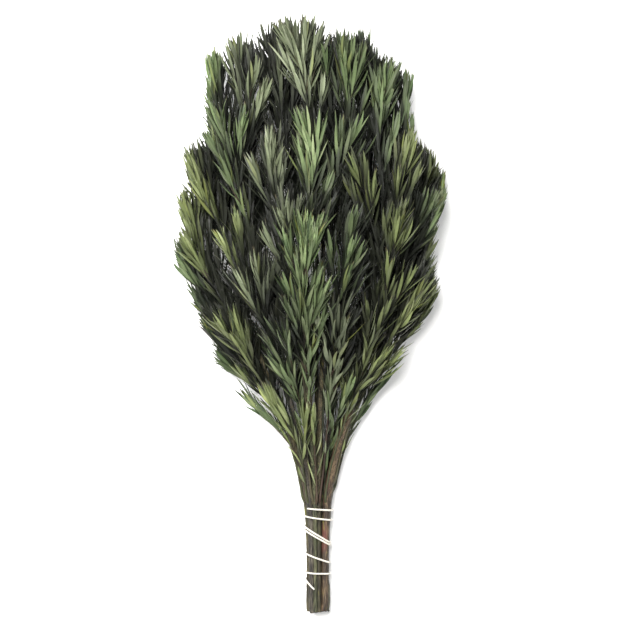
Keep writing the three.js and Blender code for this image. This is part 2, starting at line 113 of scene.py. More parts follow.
STRAY_UP = 5 * MM  # and above their highest place
BARE_UP_TO = 150 * MM  # no small leaves nearer to the cut ends than this
THIN_PART = 40 * MM  # and only sparse ones for this much further
LOWEST_LEAF = 34 * MM  # along a twig from its foot
DEEP = 24 * MM  # leaves this far inside the foliage get the full painted shade
EVEN_SHADE = 0.8  # a leaf's painted shade is about even all over it, so that leaves stand out from each other
STEM_SIDES = 24
STEM_STEP = 2 * MM
STUB_STEM = "cut_stem_08"  # the stem with a cut side twig
STUB_SIDES = 12
STRING_RADIUS = 0.95 * MM
STRING_TWIST = 5.2 * MM  # the strands go once round in this length
STRING_SIDES = 15
GOLDEN_TURN = math.radians(137.5)
STUDIO_LIGHT = 1.7  # the light on the floor is this much brighter than white, as in a studio
STEM_SEED, SPRIG_SEED = 100, 500
ASIDE, UP_THE_BUNCH = np.array([1.0, 0, 0]), np.array([0, 1.0, 0])


# ---- Small helpers ----
def unit(vector):
    return vector / max(np.linalg.norm(vector), 1e-12)


def square_to(direction, vector):
    return unit(vector - direction * np.dot(vector, direction))


def turned(vector, axis, angle):
    """vector turned by angle about a unit axis that it is square to."""
    return vector * math.cos(angle) + np.cross(axis, vector) * math.sin(angle)


def smooth(value, low, high):
    part = np.clip((value - low) / (high - low), 0, 1)
    return part * part * (3 - 2 * part)


def reach_of(line):
    """How far along a line each of its points is."""
    return np.concatenate([[0], np.cumsum(np.linalg.norm(np.diff(line, axis=0), axis=1))])


def at_place(place, places, values):
    """The columns of values, known at the places, read at one place or at several."""
    return np.stack([np.interp(place, places, column) for column in values.T], axis=-1)


def along(line, spacing):
    """Points at an even spacing on a line, with the direction and the place along it of each."""
    reached = reach_of(line)
    count = max(int(round(reached[-1] / spacing)), 2) + 1
    places = np.linspace(0, reached[-1], count)
    points = at_place(places, reached, line)
    directions = np.gradient(points, axis=0)
    return points, directions / np.linalg.norm(directions, axis=1)[:, None], places


def softened(line, rounds):
    """The line with its inner points drawn towards their neighbours, so that it bends smoothly."""
    for _ in range(rounds):
        inner = (line[:-2] + line[2:]) / 4 + line[1:-1] / 2
        line = np.concatenate([line[:1], inner, line[-1:]])
    return line


# ---- Reading the solids ----
def welded(name):
    """A solid's points without doubles, and its edges as pairs of them."""
    mesh = frame["nodes"][name].data
    raw = np.array([vertex.co for vertex in mesh.vertices])
    rounded = np.round(raw * 1e5).astype(int)
    _, first, place = np.unique(rounded, axis=0, return_index=True, return_inverse=True)
    corners = place.reshape(-1)[np.array([polygon.vertices for polygon in mesh.polygons])]
    pairs = np.concatenate([corners[:, [0, 1]], corners[:, [1, 2]], corners[:, [2, 0]]])
    pairs = np.unique(np.sort(pairs, axis=1), axis=0)
    return raw[first], pairs[pairs[:, 0] != pairs[:, 1]]


def crossings(points, edges, y):
    """Where a solid's edges cross the plane at y."""
    start, end = points[edges[:, 0]], points[edges[:, 1]]
    crosses = (start[:, 1] - y) * (end[:, 1] - y) < 0
    start, end = start[crosses], end[crosses]
    share = ((y - start[:, 1]) / (end[:, 1] - start[:, 1]))[:, None]
    return start + (end - start) * share


def stem_line(name):
    """Centre line and radii of a stem, from its sections. A stub at its side is passed over."""
    step, stub_from = 6 * MM, 1.45  # radii from a section's middle
    points, edges = welded(name)
    low, high = points[:, 1].min() + 0.1 * MM, points[:, 1].max() - 0.3 * MM
    centres, radii = [], []
    for y in np.arange(low, high, step):
        section = crossings(points, edges, y)
        away = np.linalg.norm(section - np.median(section, axis=0), axis=1)
        ring = section[away < stub_from * np.median(away)]
        centre = (ring.min(axis=0) + ring.max(axis=0)) / 2
        centres.append([centre[0], y, centre[2]])
        radii.append(np.linalg.norm(ring - centre, axis=1).max())
    return np.array(centres), np.array(radii)


def neighbours_of(edges, count):
    near = [[] for _ in range(count)]
    for a, b in edges:
        near[a].append(b)
        near[b].append(a)
    return near


def solid_leaves(points, edges):
    """The leaves of a sprig's solid. A leaf's tip is a corner where three long edges meet, and the
    three corners next to it are the leaf's two sides and its midrib, at its widest place."""
    widest = 0.42  # share of a leaf's length, from its base
    edge_from, width_from, width_to = 6 * MM, 4 * MM, 5.4 * MM
    near = neighbours_of(edges, len(points))
    leaves = []
    for index, others in enumerate(near):
        tip, around = points[index], points[others]
        if len(others) != 3 or np.linalg.norm(around - tip, axis=1).min() < edge_from:
            continue
        apart = [np.linalg.norm(around[a] - around[b]) for a, b in ((0, 1), (1, 2), (2, 0))]
        side = int(np.argmax(apart))
        left, right, ridge = around[side], around[(side + 1) % 3], around[(side + 2) % 3]
        if not width_from < apart[side] < width_to:
            continue
        base = tip + (around.mean(axis=0) - tip) / (1 - widest)
        across = unit(right - left)
        if np.dot(np.cross(across, tip - base), ridge - (left + right) / 2) < 0:
            across = -across
        leaves.append({"base": base, "tip": tip, "across": across})
    return sorted(leaves, key=lambda leaf: leaf["base"][1])


class Outline:
    """How far the sprigs' solids reach to each side, and how thickly they fill the bunch."""

    EDGE_SAMPLE, TUFT, NO_FOLIAGE = 0.15, 2, 60  # what each adds to the crowding of a place

    def __init__(self, names, cell=9 * MM):
        cloud = np.concatenate([samples_of_edges(name) for name in names])
        self.cell, self.corner = cell, cloud.min(axis=0) - 2 * cell
        cells = ((cloud - self.corner) / cell).astype(int)
        self.filled = np.zeros(cells.max(axis=0) + 4)
        np.add.at(self.filled, tuple(cells.T), self.EDGE_SAMPLE)
        self.cover = self.filled.sum(axis=2)
        # a place counts as inside if it is covered, or if foliage stands further up the bunch
        self.inside = np.maximum.accumulate((self.cover > 0)[:, ::-1], axis=1)[:, ::-1]
        self.furthest = cloud[:, 1].max()
        self.rows = np.arange(cloud[:, 1].min(), self.furthest + cell, cell)
        near_row = [cloud[np.abs(cloud[:, 1] - row) < 1.6 * cell][:, 0] for row in self.rows]
        self.left, self.right = (np.array([end(xs) if len(xs) else 0 for xs in near_row])
                                 for end in (np.min, np.max))

    def cell_of(self, point):
        last = np.array(self.filled.shape) - 2
        return tuple(np.clip(((point - self.corner) / self.cell).astype(int), 1, last))

    def add_tuft(self, point):
        x, y, z = self.cell_of(point)
        self.filled[x, y, z] += self.TUFT
        self.cover[x, y] += self.TUFT

    def outside(self, point):
        """How far a point lies beyond the outline, in metres; no less than 0."""
        left, right = (np.interp(point[1], self.rows, side) for side in (self.left, self.right))
        return max(left - point[0], point[0] - right, point[1] - self.furthest, 0)

    def crowding(self, base, tip):
        """How little room there is for a short shoot with its tuft: less is better."""
        x, y, z = self.cell_of(tip)
        about = (slice(x - 1, x + 2), slice(y - 1, y + 2))
        crowd = self.cover[about].sum() + 2 * self.cover[x, y]
        crowd += 2 * self.filled[(*about, slice(z - 1, z + 2))].sum()
        bare = 0 if self.inside[about].sum() > 5 else self.NO_FOLIAGE
        raised = (tip - base)[2] / self.cell
        return crowd + bare + raised + self.outside(tip + unit(tip - base) * LEAF_LENGTH[0]) / MM


def samples_of_edges(name):
    """Points spread over a solid's edges."""
    points, edges = welded(name)
    return np.concatenate([points[edges[:, 0]] * (1 - share) + points[edges[:, 1]] * share
                           for share in (0, 0.25, 0.5, 0.75)])


class Shade:
    """How deep a place lies in the finished foliage, between the highest and lowest leaves about it, for
    the painted shade of leaves and twigs.
    """

    COVER_BLURS = 7
    EDGE_COVER = (0.66, 0.995)  # light comes in from the sides where less than this is covered

    def __init__(self, cloud, cell=5 * MM):
        self.cell, self.corner = cell, cloud[:, :2].min(axis=0) - 3 * cell
        columns = ((cloud[:, :2] - self.corner) / cell).astype(int)
        shape = columns.max(axis=0) + 4
        high, low = np.full(shape, -1.0), np.full(shape, 1.0)
        np.maximum.at(high, tuple(columns.T), cloud[:, 2])
        np.minimum.at(low, tuple(columns.T), cloud[:, 2])
        self.cover = np.where(high < 0, 0.0, 1.0)
        for _ in range(self.COVER_BLURS):
            self.cover = self.blurred(self.cover)
        self.high = self.blurred(self.widened(np.where(high < 0, 0, high), np.maximum))
        self.low = self.blurred(self.widened(np.where(low > 0.99, 0, low), np.minimum))

    @staticmethod
    def widened(grid, pick):
        for axis in (0, 1):
            grid = pick(pick(np.roll(grid, 1, axis), grid), np.roll(grid, -1, axis))
        return grid

    @staticmethod
    def blurred(grid):
        for axis in (0, 1):
            grid = (np.roll(grid, 1, axis) + 2 * grid + np.roll(grid, -1, axis)) / 4
        return grid

    def depth(self, points):
        """0 at the outside, 1 deep inside, for an array of points."""
        place = (points[..., :2] - self.corner) / self.cell - 0.5
        cell = np.clip(place.astype(int), 0, np.array(self.high.shape) - 2)
        part = np.clip(place - cell, 0, 1)
        (x, y), (u, v) = np.moveaxis(cell, -1, 0), np.moveaxis(part, -1, 0)

        def read(grid):
            near = grid[x, y] * (1 - u) + grid[x + 1, y] * u
            far = grid[x, y + 1] * (1 - u) + grid[x + 1, y + 1] * u
            return near * (1 - v) + far * v

        above, below = read(self.high) - points[..., 2], points[..., 2] - read(self.low)
        inside = np.minimum(above, below + 0.4 * DEEP)
        return np.clip(inside / DEEP, 0, 1) * smooth(read(self.cover), *self.EDGE_COVER)


def twig_line(points, edges, held):
    """The centre line of a sprig's twig. Its bare foot is followed up by small steps, its end is the
    base of the furthest leaf, and between the two it runs through the bases of the leaves that lie on
    one smooth curve."""
    step, reach = 3 * MM, 2 * MM
    root_y, end = points[:, 1].min(), held[-1]

    def snapped(guess):
        """The middle of the solid's section round a guess, or the guess where there is none."""
        section = crossings(points, edges, guess[1])
        close = section[np.linalg.norm(section - guess, axis=1) < reach]
        return close.mean(axis=0) if len(close) else guess

    centre = points[points[:, 1] < root_y + 0.9 * MM].mean(axis=0)
    slope = np.zeros(3)
    known = [centre]
    for y in np.arange(root_y + step, held[0]["base"][1] - 2 * MM, step):
        guess = centre + slope
        guess[1] = y
        found = snapped(guess)
        slope = 0.6 * slope + 0.4 * (found - centre) if len(known) > 1 else found - centre
        centre = found
        known.append(centre)
    run = unit(end["tip"] - end["base"])
    known += [end["base"] - run * back for back in (0, 2 * MM, 4 * MM)]
    sure = np.arange(len(known) + len(held)) < len(known)
    known = np.array(known + [leaf["base"] for leaf in held])
    share = (known[:, 1] - root_y) / (end["base"][1] - root_y)
    weight = np.where(sure, 1.0, 0.05)
    for _ in range(12):
        curves = [np.polyfit(share, known[:, axis], 4, w=weight) for axis in (0, 2)]
        off = np.hypot(*(known[:, axis] - np.polyval(curve, share)
                         for axis, curve in zip((0, 2), curves)))
        weight = np.where(sure, 1.0, 1 / (1 + (off / MM) ** 2))
    line = []
    for y in np.arange(root_y, end["base"][1], step):
        part = (y - root_y) / (end["base"][1] - root_y)
        x, z = (np.polyval(curve, part) for curve in curves)
        line.append(snapped(np.array([x, y, z])))
    return softened(np.array(line + [end["base"]]), 6)


def string_line():
    """Centres of the string's rings, one after another from the cap at its first end."""
    points, edges = welded("string_tie")
    near = neighbours_of(edges, len(points))
    caps = [index for index, others in enumerate(near) if len(others) == 6
            and max(np.linalg.norm(points[others] - points[index], axis=1)) < 1.1 * MM]
    start = max(caps, key=lambda index: points[index][1])
    seen, ring, centres = {start}, [start], [points[start]]
    while ring:
        ring = sorted({other for index in ring for other in near[index]} - seen)
        seen.update(ring)
        if len(ring) > 2:
            centres.append(points[ring].mean(axis=0))
    return np.array(centres)


# ---- Meshes ----
def placed(name, data):
    thing = bpy.data.objects.new(name, data)
    bpy.context.scene.collection.objects.link(thing)
    return thing


class Parts:
    """The points, faces, bake map, values and sharp edges of one piece, part by part."""

    def __init__(self):
        self.points, self.faces, self.uvs, self.creases = [], [], [], []
        self.values = {}
        self.count = 0

    def add(self, points, faces, uvs, of_faces, of_points, creases=None):
        self.points.append(points)
        self.faces.append(faces + self.count)
        self.uvs.append(uvs)
        if creases is not None:
            self.creases.append(creases + self.count)
        for domain, values in (("FACE", of_faces), ("POINT", of_points)):
            for label, numbers in values.items():
                self.values.setdefault((label, domain), []).append(numbers)
        self.count += len(points)

    def build(self, name):
        """A smooth mesh object. Its faces are quads; a repeated last corner makes a triangle."""
        corner_lists, uv_lists = [], []
        faces, uvs = np.concatenate(self.faces), np.concatenate(self.uvs)
        for corners, pairs in zip(faces.tolist(), uvs.tolist()):
            keep = 3 if corners[2] == corners[3] else 4
            corner_lists.append(corners[:keep])
            uv_lists.extend(pairs[:keep])
        mesh = bpy.data.meshes.new(name)
        mesh.from_pydata(np.concatenate(self.points).tolist(), [], corner_lists)
        layer = mesh.uv_layers.new(name="OFBake")
        layer.data.foreach_set("uv", np.array(uv_lists, dtype=np.float32).ravel())
        for (label, domain), numbers in self.values.items():
            kind = mesh.attributes.new(label, "FLOAT", domain)
            kind.data.foreach_set("value", np.concatenate(numbers).astype(np.float32))
        mesh.polygons.foreach_set("use_smooth", [True] * len(mesh.polygons))
        if self.creases:
            creases = np.sort(np.concatenate(self.creases), axis=1)
            wanted = {tuple(pair) for pair in creases.tolist()}
            sharp = [tuple(sorted(edge.vertices)) in wanted for edge in mesh.edges]
            mesh.attributes.new("sharp_edge", "BOOLEAN", "EDGE").data.foreach_set("value", sharp)
        mesh.update()
        return placed(name, mesh)


def tube(line, radius_at, sides, hint, wall_box, cap_spots, cap_size, lying=False):
    """A closed round bar along a line. radius_at(place, angle) shapes its surface. On its bake map the
    wall fills a box (left, low, right, high), upright or lying, and each cap is a disc on its spot.
    Gives its points, faces, bake map and each point's place along it. The caps' faces and their two
    middle points come last."""
    directions = np.gradient(line, axis=0)
    directions /= np.linalg.norm(directions, axis=1)[:, None]
    places = reach_of(line)
    rights = []
    for direction in directions:
        hint = square_to(direction, hint)
        rights.append(hint)
    rights = np.array(rights)
    ups = np.cross(rights, directions)
    angles = np.linspace(0, 2 * math.pi, sides, endpoint=False)
    radii = radius_at(places[:, None], angles[None, :])
    ring = rights[:, None] * np.cos(angles)[:, None] + ups[:, None] * np.sin(angles)[:, None]
    wall = line[:, None] + ring * radii[..., None]
    points = np.concatenate([wall.reshape(-1, 3), line[:1], line[-1:]])
    row, column = np.meshgrid(np.arange(len(line) - 1), np.arange(sides), indexing="ij")
    following = (column + 1) % sides
    quads = np.stack([row * sides + column, row * sides + following,
                      (row + 1) * sides + following, (row + 1) * sides + column], axis=-1)
    first, second, middle = column[0], following[0], np.full(sides, len(line) * sides)
    top = (len(line) - 1) * sides
    starts = np.stack([second, first, middle, middle], axis=-1)
    ends = np.stack([top + first, top + second, middle + 1, middle + 1], axis=-1)

    share = places / places[-1]
    round_it = np.stack([column, column + 1, column + 1, column], axis=-1) / sides
    along_it = np.stack([share[row], share[row], share[row + 1], share[row + 1]], axis=-1)
    u, v = (along_it, round_it) if lying else (round_it, along_it)
    left, low, right, high = wall_box
    wall_uv = np.stack([left + (right - left) * u, low + (high - low) * v], axis=-1)
    uvs = np.concatenate([wall_uv.reshape(-1, 4, 2), disc_uv(sides, cap_spots[0], cap_size, True),
                          disc_uv(sides, cap_spots[1], cap_size, False)])
    point_places = np.concatenate([np.repeat(places, sides), places[:1], places[-1:]])
    return points, np.concatenate([quads.reshape(-1, 4), starts, ends]), uvs, point_places


def disc_uv(sides, centre, size, backwards):
    """Bake map of a cap: a small disc."""
    angles = np.linspace(0, 2 * math.pi, sides + 1)
    rim = np.stack([centre[0] + size * np.cos(angles), centre[1] + size * np.sin(angles)], axis=-1)
    pairs = (rim[1:], rim[:-1]) if backwards else (rim[:-1], rim[1:])
    middle = np.tile(np.array(centre), (sides, 1))
    return np.stack([pairs[0], pairs[1], middle, middle], axis=1)


# ---- Stems ----
def add_bark(parts, bar, sides, creases=None):
    """A bar of bark. Its cut ends have middles of their own, for the wood's rings to go round."""
    points, faces, uvs, _ = bar
    cut, ring = np.zeros(len(faces)), np.ones(len(points))
    cut[-2 * sides:] = 1
    ring[-2:] = 0
    parts.add(points, faces, uvs, {"cut": cut}, {"ring": ring}, creases)


def make_stem(name, rng):
    line, radii = STEM_LINES[name]
    # the solid's line is continued to its far end
    line = np.concatenate([line, line[-1:] + (line[-1:] - line[-2:-1]) * 0.7])
    radii = np.concatenate([radii, radii[-1:]])
    points, _, places = along(line, STEM_STEP)
    base = np.interp(places, reach_of(line), radii) * 0.985  # room for the bark's relief
    points = softened(points, 3)
    length = places[-1]

    # joints where leaves once stood
    knots, at = [], rng.uniform(8, 22) * MM
    while at < length - 6 * MM:
        knots.append((at, rng.uniform(0, 2 * math.pi), rng.uniform(0.7, 1.3)))
        at += rng.uniform(16, 34) * MM
    ridges = [(rng.integers(2, 9), rng.uniform(0, 2 * math.pi), rng.uniform(-40, 40),
               rng.uniform(0.4, 1)) for _ in range(7)]
    lumps = [(rng.uniform(60, 260), rng.uniform(0, 2 * math.pi), rng.integers(1, 4), rng.uniform(0, 6))
             for _ in range(5)]

    def radius_at(place, angle):
        radius = np.interp(place, places, base)
        thick = np.clip(radius / (3 * MM), 0.25, 1)
        relief = sum(strength * np.sin(number * angle + start + lean * place)
                     for number, start, lean, strength in ridges) * 0.035 * MM
        relief = relief + sum(np.sin(rate * place + start) * np.cos(number * angle + lean)
                              for rate, start, number, lean in lumps) * 0.045 * MM
        for at, facing, size in knots:
            near = np.exp(-((place - at) / (2.2 * MM)) ** 2)
            turn = np.cos(angle - facing)
            relief = relief + near * size * (0.05 + 0.2 * np.clip(turn, 0, 1) ** 3) * MM
        edge = smooth(np.minimum(place, length - place), 0, 0.5 * MM)
        return (radius + relief * thick) * (0.93 + 0.07 * edge)

    bar = tube(points, radius_at, STEM_SIDES, ASIDE,
               (0.0, 0.0, 1.0, 0.93), ((0.03, 0.965), (0.09, 0.965)), 0.025)
    around = np.arange(STEM_SIDES)
    rim = np.stack([around, (around + 1) % STEM_SIDES], axis=-1)
    parts = Parts()
    add_bark(parts, bar, STEM_SIDES, np.concatenate([rim, rim + (len(points) - 1) * STEM_SIDES]))
    if name == STUB_STEM:
        add_stub(parts, points, base)
    return parts.build("bark_" + name[-2:])


def add_stub(parts, points, base):
    """The cut side twig low on one stem, from the stem's middle to where its solid ends."""
    solid, _ = welded(STUB_STEM)
    tip = solid[np.argmax(solid[:, 0] - np.interp(solid[:, 1], points[:, 1], points[:, 0]))]
    nearest = int(np.argmin(np.abs(points[:, 1] - (tip[1] - 2.2 * MM))))
    start = points[nearest] + np.array([base[nearest] * 0.6, 0, 0])
    line = start + (tip - start) * np.linspace(0, 1, 8)[:, None]

    def radius_at(place, angle):
        share = place / place.max()
        return (1.25 - 0.55 * share + 0.06 * np.sin(3 * angle + 1)) * MM

    add_bark(parts, tube(line, radius_at, STUB_SIDES, np.array([0, 0, 1.0]),
                         (0.2, 0.94, 0.5, 1.0), ((0.55, 0.965), (0.6, 0.965)), 0.02), STUB_SIDES)


# ---- Leaves ----
def leaf_batch(leaves, rng):
    """Closed thin blades. Each leaf has a base, a tip, an across direction, a width, a bend out of its
    plane, a sweep in it, a fold along its midrib and a twist. Each end closes with a small face."""
    count = len(leaves)
    base, tip, across, width, bend, sweep, fold, twist, tint = (
        np.array([leaf[fact] for leaf in leaves])
        for fact in ("base", "tip", "across", "width", "bend", "sweep", "fold", "twist", "tint"))
    length = np.linalg.norm(tip - base, axis=1)
    direction = (tip - base) / length[:, None]
    across -= direction * np.sum(across * direction, axis=1)[:, None]
    across /= np.linalg.norm(across, axis=1)[:, None]
    outward = np.cross(across, direction)
    base, direction, across, outward = (
        vector[:, None] for vector in (base, direction, across, outward))
    stations, profile = np.array(LEAF_OUTLINE).T
    arch = stations * (1 - stations) * 4
    centre = (base + direction * (stations * length[:, None])[..., None]
              + outward * (arch * (bend * length)[:, None])[..., None]
              + across * (arch * (sweep * length)[:, None])[..., None])
    angle = (twist[:, None] * (stations - 0.3))[..., None]
    side = across * np.cos(angle) + outward * np.sin(angle)
    facing = outward * np.cos(angle) - across * np.sin(angle)
    half = profile * width[:, None] / 2
    sideways = side * (half * np.cos(fold)[:, None])[..., None]
    lifted = facing * (half * np.sin(fold)[:, None])[..., None]
    thick = LEAF_THICKNESS * (0.35 + 0.65 * profile)[:, None]
    rings = np.stack([centre - sideways - lifted, centre + facing * (thick * 0.55),
                      centre + sideways - lifted, centre - facing * (thick * 0.45)], axis=2)
    below = LEAF_FLOOR - rings[..., 2].min(axis=2)
    rings[..., 2] += np.maximum(below, 0)[..., None]
    row, column = np.meshgrid(np.arange(len(stations) - 1), np.arange(4), indexing="ij")
    following = (column + 1) % 4
    quads = np.stack([row * 4 + column, (row + 1) * 4 + column,
                      (row + 1) * 4 + following, row * 4 + following], axis=-1).reshape(-1, 4)
    last = (len(stations) - 1) * 4
    caps = np.array([[0, 1, 2, 3], [last + 3, last + 2, last + 1, last]])
    faces = np.concatenate([quads, caps])
    v0, v1 = stations[row], stations[row + 1]
    cell = np.stack([column / 4, v0, column / 4, v1, (column + 1) / 4, v1, (column + 1) / 4, v0],
                    axis=-1).reshape(-1, 4, 2)
    cap_cells = np.array([[[0, 0], [0.25, 0], [0.25, 0.01], [0, 0.01]],
                          [[0, 0.99], [0.25, 0.99], [0.25, 1], [0, 1]]])
    cell = np.concatenate([cell, cap_cells]) * 0.9 + 0.05
    rows = math.ceil(count / LEAF_COLUMNS)
    places = np.arange(count)
    corner = np.stack([(places % LEAF_COLUMNS) / LEAF_COLUMNS,
                       (places // LEAF_COLUMNS) / rows * 0.9], axis=-1)
    uvs = corner[:, None, None] + cell[None] * np.array([1 / LEAF_COLUMNS, 0.9 / rows])
    under = np.concatenate([(column.ravel() >= 2).astype(float), [0, 0]])
    rim = np.arange(len(stations) - 1) * 4
    creases = np.concatenate([np.stack([rim, rim + 4], axis=-1), np.stack([rim + 2, rim + 6], axis=-1)])
    offsets = np.arange(count) * len(stations) * 4
    per_leaf = len(faces)
    return (rings.reshape(-1, 3), (faces[None] + offsets[:, None, None]).reshape(-1, 4),
            uvs.reshape(-1, 4, 2),
            {"under": np.tile(under, count), "tint": np.repeat(tint, per_leaf),
             "chance": np.repeat(rng.uniform(size=count), per_leaf),
             "woody": np.zeros(count * per_leaf)},
            {"along": np.tile(np.repeat(stations, 4), count),
             "side": np.tile([-1.0, 0.0, 1.0, 0.0], len(stations) * count)},
            (creases[None] + offsets[:, None, None]).reshape(-1, 2))


def leaf_style(rng, mood):
    """What sets one leaf apart from the next."""
    return {"bend": rng.normal(0.015, 0.03), "sweep": rng.normal(0, 0.022),
            "fold": rng.uniform(0.05, 0.55), "twist": rng.normal(0, 0.4),
            "tint": float(np.clip(rng.normal(mood, 0.22), 0, 1))}


def grown_leaf(branch, place, turn, opening, length, rng):
    """The base, tip and across direction of a leaf at a place along a branch, turned round it."""
    points, directions, reached = branch
    axis = unit(at_place(place, reached, directions))
    centre = at_place(place, reached, points)
    outward = turned(square_to(axis, ASIDE), axis, turn)
    direction = axis * math.cos(opening) + outward * math.sin(opening)
    direction = unit(direction + UPRIGHT * UP_THE_BUNCH)
    base = centre + outward * 0.3 * MM
    # a leaf that would stick out is turned up along the bunch, or is a short one
    stray = rng.uniform(*STRAY)
    for _ in range(5):
        beyond = OUTLINE.outside(base + direction * length)
        if beyond > stray and base[1] + direction[1] * length > OUTLINE.furthest + stray:
            length *= rng.uniform(0.75, 0.97)
        elif beyond > stray:
            direction = unit(direction + 0.35 * square_to(direction, UP_THE_BUNCH))
    tip_height = base[2] + direction[2] * length
    held_height = min(max(tip_height, LEAF_FLOOR + 1.2 * MM), CAD_BOX[1][2] + STRAY_UP)
    if held_height != tip_height:
        direction[2] = (held_height - base[2]) / length
        direction = unit(direction)
    return {"base": base, "tip": base + direction * length, "across": np.cross(outward, axis)}


def dress(branch, start, spread, mood, rng):
    """Leaves along a branch down to start: a close tuft at its end, then round and round it."""
    leaves = []
    place, turn, index = branch[2][-1], rng.uniform(0, 2 * math.pi), 0
    while place > start:
        first, step, most = OPENING
        opening = max(min(first + step * index, most) * spread + rng.normal(0, OPENING_SCATTER), 2)
        length = rng.uniform(*LEAF_LENGTH) * min(0.78 + 0.03 * index, 1)
        width = rng.uniform(*LEAF_WIDTH)
        leaf = grown_leaf(branch, place, turn, math.radians(opening), length, rng)
        leaves.append({**leaf, **leaf_style(rng, mood), "width": width})
        turn += GOLDEN_TURN + rng.normal(0, 0.25)
        place -= TUFT_SPACING if index < TUFT_LEAVES else LEAF_SPACING * rng.uniform(0.75, 1.25)
        index += 1
    return leaves


def add_twig(parts, branch, radii, band, tint, flare):
    """A branch's own bark, with its bake map in a band (left, low, right, high)."""
    points, _, reached = branch
    length = reached[-1]

    def radius_at(place, angle):
        share = place / length
        radius = (radii[0] + (radii[1] - radii[0]) * share) * (0.55 + 0.45 * smooth(place, 0, 9 * MM))
        radius = radius + flare * np.exp(-((place - 9 * MM) / (5 * MM)) ** 2)
        return radius + 0.09 * MM * np.sin(place / (1.9 * MM) + 3 * np.sin(angle)) * (1 - 0.4 * share)

    _, low, right, high = band
    middle = (low + high) / 2
    shape, faces, uvs, places = tube(points, radius_at, TWIG_SIDES, ASIDE, band,
                                     ((right + 0.02, middle), (right + 0.05, middle)),
                                     (high - low) * 0.4, lying=True)
    bark = {"under": 0.0, "tint": tint, "chance": tint, "woody": 1.0}
    parts.add(shape, faces, uvs, {label: np.full(len(faces), value) for label, value in bark.items()},
              {"along": places / length, "side": np.zeros(len(shape))})


def distance_to_line(point, line):
    """How far a point is from a line, and the place on the line that is nearest."""
    starts, runs = line[:-1], np.diff(line, axis=0)
    shares = np.clip(np.sum((point - starts) * runs, axis=1) / np.sum(runs * runs, axis=1), 0, 1)
    nearest = starts + runs * shares[:, None]
    distances = np.linalg.norm(nearest - point, axis=1)
    best = int(np.argmin(distances))
    return distances[best], nearest[best]


def solid_shoots(held, line):
    """The side shoots of a sprig's solid, as pairs of root and end: each runs straight through the
    bases of its leaves, and its last leaf carries on from it."""
    same_shoot, root_gap, reaches = 1.5 * MM, 2.5 * MM, np.arange(6, 52, 1.0) * MM
    off_twig = [leaf for leaf in held if distance_to_line(leaf["base"], line)[0] > ON_TWIG]
    shoots = []
    for leaf in reversed(off_twig):
        base, direction = leaf["base"], unit(leaf["tip"] - leaf["base"])
        if any(distance_to_line(base, np.array(pair))[0] < same_shoot for pair in shoots):
            continue
        gaps = [distance_to_line(base - direction * reach, line)[0] for reach in reaches]
        best = int(np.argmin(gaps))
        if gaps[best] < root_gap:
            shoots.append((base - direction * reaches[best], base + direction * 2 * MM))
    return shoots


def make_sprig(name, rng):
    points, edges = welded(name)
    held = solid_leaves(points, edges)
    line = twig_line(points, edges, held)
    shoots = solid_shoots(held, line)
    # its foot runs down into the stem that it grew from
    line = np.concatenate([foot_in_stem(line[0]), line])
    points, _, _ = along(line, TWIG_STEP)
    twig = along(softened(points, 2), TWIG_STEP)
    length = twig[2][-1]
    bark_tint, mood = rng.uniform(), rng.uniform(*MOOD)
    parts = Parts()
    add_twig(parts, twig, TWIG_RADIUS, (0, 0.93, 0.9, 0.99), bark_tint, 0.5 * MM)

    def leafy_shoot(root, end, flare, spread, shoot_mood):
        shoot = along(np.array([root, end]), SHOOT_STEP)
        add_twig(parts, shoot, SHOOT_RADIUS, shoot_band(len(parts.points) - 1), bark_tint, flare)
        return dress(shoot, SHOOT_STALK, spread, shoot_mood, rng)

    leaves = [{**leaf, **leaf_style(rng, mood), "width": rng.uniform(*LEAF_WIDTH)} for leaf in held]
    on_twig = [leaf for leaf in held if distance_to_line(leaf["base"], line)[0] < ON_TWIG]
    leafy_from = float(np.interp(on_twig[0]["base"][1], twig[0][:, 1], twig[2])) - 6 * MM
    bare = float(np.interp(CUT_ENDS + BARE_UP_TO, twig[0][:, 1], twig[2]))
    leafy_from = max(leafy_from, bare + THIN_PART)
    leafy = length - leafy_from
    spread = 0.55 + 0.45 * smooth(leafy, 50 * MM, 100 * MM)
    leaves += dress(twig, leafy_from, spread, mood, rng)
    for root, end in shoots:
        leaves += leafy_shoot(root, end, 0.3 * MM, 1, mood + rng.normal(0, 0.08))
    # short side shoots between them, each with a tuft
    for _ in range(round(leafy / SHORT_SHOOT_SPACING) if leafy > SHORT_SHOOTS_FROM else 0):
        ways = []
        for place in rng.uniform(leafy_from + 10 * MM, length - 14 * MM, SHOOT_WAYS):
            turn, opening = rng.uniform(0, 2 * math.pi), math.radians(rng.uniform(*SHOOT_OPENING))
            reach = min(rng.uniform(*SHORT_SHOOT), length - place + 6 * MM)
            ways.append(grown_leaf(twig, place, turn, opening, reach, rng))
        # each goes where the foliage is thinnest
        way = min(ways, key=lambda way: OUTLINE.crowding(way["base"], way["tip"]))
        OUTLINE.add_tuft(way["tip"])
        leaves += leafy_shoot(way["base"], way["tip"], 0.2 * MM, 0.9, mood - 0.12)
    # sparse leaves below
    place, turn = leafy_from - 4 * MM, rng.uniform(0, 2 * math.pi)
    while place > max(bare, LOWEST_LEAF):
        opening = math.radians(rng.uniform(*SPARSE_OPENING))
        reach = rng.uniform(*LEAF_LENGTH) * rng.uniform(0.55, 0.95)
        leaf = grown_leaf(twig, place, turn, opening, reach, rng)
        leaves.append({**leaf, **leaf_style(rng, mood * 0.6), "width": rng.uniform(*LEAF_WIDTH) * 0.75})
        turn += GOLDEN_TURN + rng.normal(0, 0.4)
        place -= SPARSE_SPACING * rng.uniform(0.7, 1.6)
    parts.add(*leaf_batch(leaves, rng))
    return parts


